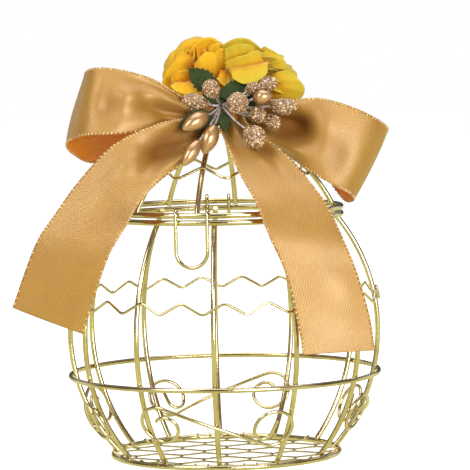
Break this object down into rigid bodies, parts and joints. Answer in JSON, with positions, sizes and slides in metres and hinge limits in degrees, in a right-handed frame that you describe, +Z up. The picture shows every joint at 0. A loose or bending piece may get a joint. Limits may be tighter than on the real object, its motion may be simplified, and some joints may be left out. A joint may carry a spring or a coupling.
{
  "type": "wire favour cage",
  "caption": "Egg-shaped openwork wire favour cage with a hinged domed lid, a wire latch loop, a satin ribbon bow and a spray of paper roses, leaves and berries.",
  "frame": {"origin": "middle of the base ring, on the surface that the cage stands on", "axes": "+Z up; the latch and the bow face -Y and the hinge is at +Y; +X to the right seen from the front"},
  "size_m": [0.1048, 0.0902, 0.1189],
  "materials": {
    "gold_wire": "bright plated",
    "satin_ribbon": "satin weave",
    "amber_paper": "matt crepe paper",
    "lemon_paper": "matt crepe paper",
    "leaf_green": "matt",
    "sugar_grain": "granular",
    "pearl_gold": "pearl gloss",
    "silver_thread": "satin"
  },
  "bodies": {
    "cage": {"base_ring": "gold_wire", "base_mesh": "gold_wire", "body_rib_01": "gold_wire", "body_rib_02": "gold_wire", "body_rib_03": "gold_wire", "body_rib_04": "gold_wire", "body_rib_05": "gold_wire", "body_rib_06": "gold_wire", "body_rib_07": "gold_wire", "body_rib_08": "gold_wire", "body_rib_09": "gold_wire", "body_rib_10": "gold_wire", "body_rib_11": "gold_wire", "body_rib_12": "gold_wire", "belly_hoop": "gold_wire", "body_wave_ring": "gold_wire", "mouth_ring": "gold_wire", "scroll_front": "gold_wire", "scroll_right": "gold_wire", "scroll_back": "gold_wire", "scroll_left": "gold_wire"},
    "lid": {"lid_ring": "gold_wire", "lid_rib_01": "gold_wire", "lid_rib_02": "gold_wire", "lid_rib_03": "gold_wire", "lid_rib_04": "gold_wire", "lid_rib_05": "gold_wire", "lid_rib_06": "gold_wire", "lid_rib_07": "gold_wire", "lid_rib_08": "gold_wire", "lid_rib_09": "gold_wire", "lid_rib_10": "gold_wire", "lid_wave_ring": "gold_wire", "crown_ring": "gold_wire", "hinge_link_left": "gold_wire", "hinge_link_right": "gold_wire", "bow_knot": "satin_ribbon", "bow_loop_left": "satin_ribbon", "bow_loop_right": "satin_ribbon", "bow_tail_left": "satin_ribbon", "bow_tail_right": "satin_ribbon", "rose_left": "amber_paper", "rose_right": "lemon_paper", "rose_calyx_left": "leaf_green", "rose_calyx_right": "leaf_green", "leaves": "leaf_green", "stem_binding": "leaf_green", "sugar_berries": "sugar_grain", "pearl_berries": "pearl_gold", "berry_stems": "silver_thread"},
    "latch": {"latch_loop": "gold_wire"}
  },
  "joints": [
    {"name": "lid_hinge", "type": "hinge", "parent": "cage", "child": "lid", "pos_m": [0, 0.03372, 0.0684], "axis": [-1, 0, 0], "range_deg": [0, 110]},
    {"name": "latch_swing", "type": "hinge", "parent": "lid", "child": "latch", "pos_m": [-0.00784, -0.03267, 0.0704], "axis": [-0.9724, 0.2334, 0], "range_deg": [0, 85]}
  ]
}
